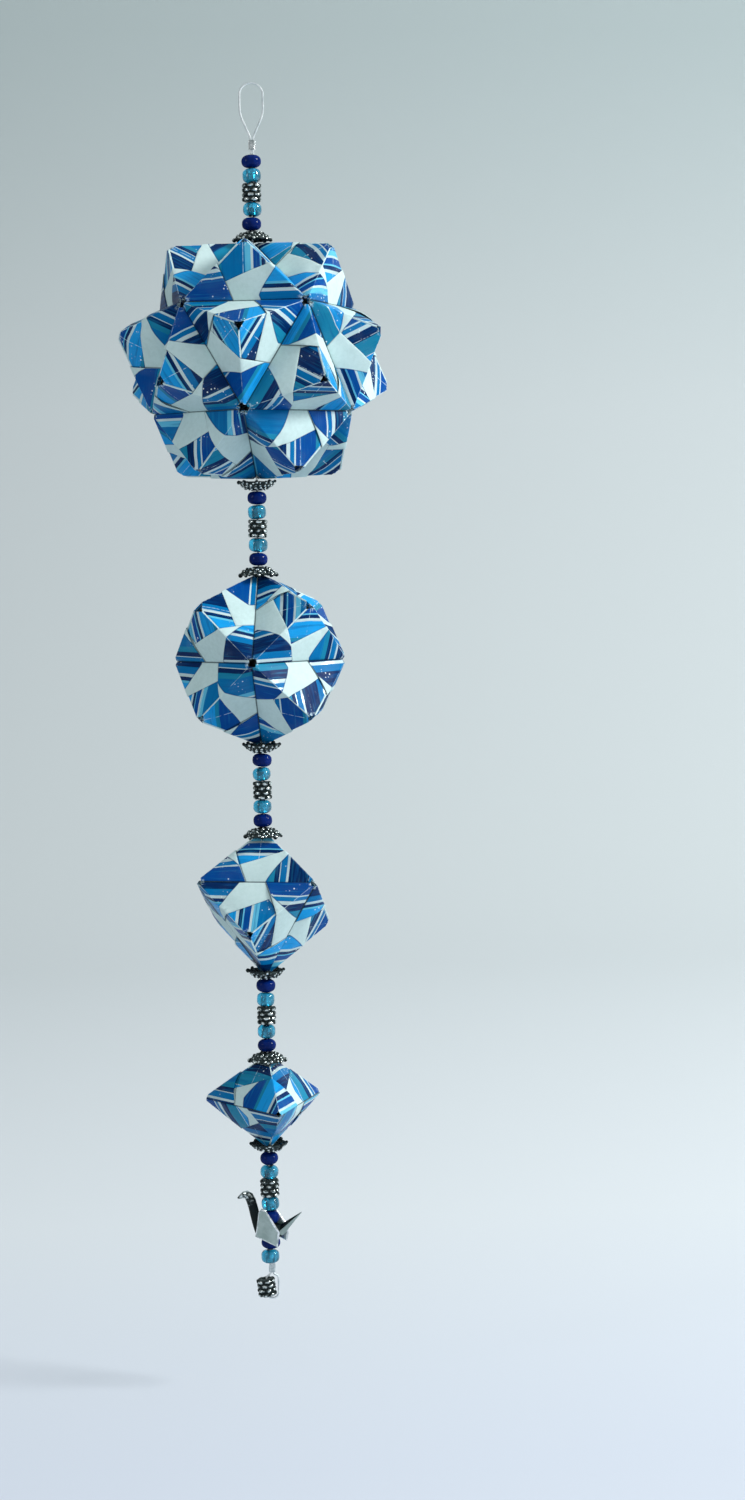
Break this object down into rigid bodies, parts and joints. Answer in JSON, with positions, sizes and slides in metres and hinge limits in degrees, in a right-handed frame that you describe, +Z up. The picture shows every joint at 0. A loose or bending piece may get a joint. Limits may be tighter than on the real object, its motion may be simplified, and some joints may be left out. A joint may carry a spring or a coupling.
{
  "type": "hanging paper kusudama ornament",
  "caption": "Hanging string of modular folded-paper balls on a wire loop, with glass beads, silver caps and a small crane charm.",
  "frame": {"origin": "inside the top of the wire hanging loop, where a hook carries the string", "axes": "+Z up along the wire, the string hangs along -Z; -Y is the front, which the picture shows"},
  "size_m": [0.0552, 0.0558, 0.2512],
  "materials": {
    "striped_paper": "printed origami paper with blue, teal and white stripes and fine foil lines",
    "cobalt_glass": "clear dark blue glass, fire polished",
    "aqua_glass": "clear aqua glass, fire polished",
    "antique_silver": "antiqued silver, dark in the grooves and bright on the raised grains",
    "cast_silver": "cast silver, softly polished",
    "bright_silver": "bright silver plate",
    "steel_wire": "bare steel beading wire"
  },
  "bodies": {
    "root": {"ball_unit_01": "striped_paper", "ball_unit_02": "striped_paper", "ball_unit_03": "striped_paper", "ball_unit_04": "striped_paper", "ball_unit_05": "striped_paper", "ball_unit_06": "striped_paper", "ball_unit_07": "striped_paper", "ball_unit_08": "striped_paper", "ball_unit_09": "striped_paper", "ball_unit_10": "striped_paper", "ball_unit_11": "striped_paper", "ball_unit_12": "striped_paper", "ball_unit_13": "striped_paper", "ball_unit_14": "striped_paper", "ball_unit_15": "striped_paper", "ball_unit_16": "striped_paper", "ball_unit_17": "striped_paper", "ball_unit_18": "striped_paper", "ball_unit_19": "striped_paper", "ball_unit_20": "striped_paper", "ball_unit_21": "striped_paper", "ball_unit_22": "striped_paper", "ball_unit_23": "striped_paper", "ball_unit_24": "striped_paper", "ball_unit_25": "striped_paper", "ball_unit_26": "striped_paper", "ball_unit_27": "striped_paper", "ball_unit_28": "striped_paper", "ball_unit_29": "striped_paper", "ball_unit_30": "striped_paper", "round_unit_01": "striped_paper", "round_unit_02": "striped_paper", "round_unit_03": "striped_paper", "round_unit_04": "striped_paper", "round_unit_05": "striped_paper", "round_unit_06": "striped_paper", "round_unit_07": "striped_paper", "round_unit_08": "striped_paper", "round_unit_09": "striped_paper", "round_unit_10": "striped_paper", "round_unit_11": "striped_paper", "round_unit_12": "striped_paper", "cube_unit_01": "striped_paper", "cube_unit_02": "striped_paper", "cube_unit_03": "striped_paper", "cube_unit_04": "striped_paper", "cube_unit_05": "striped_paper", "cube_unit_06": "striped_paper", "gem_unit_01": "striped_paper", "gem_unit_02": "striped_paper", "gem_unit_03": "striped_paper", "dark_seed_beads": "cobalt_glass", "pale_seed_beads": "aqua_glass", "silver_barrel_beads": "antique_silver", "bead_caps": "antique_silver", "crane_charm": "cast_silver", "crimp_tubes": "bright_silver", "beading_wire": "steel_wire"}
  },
  "joints": []
}
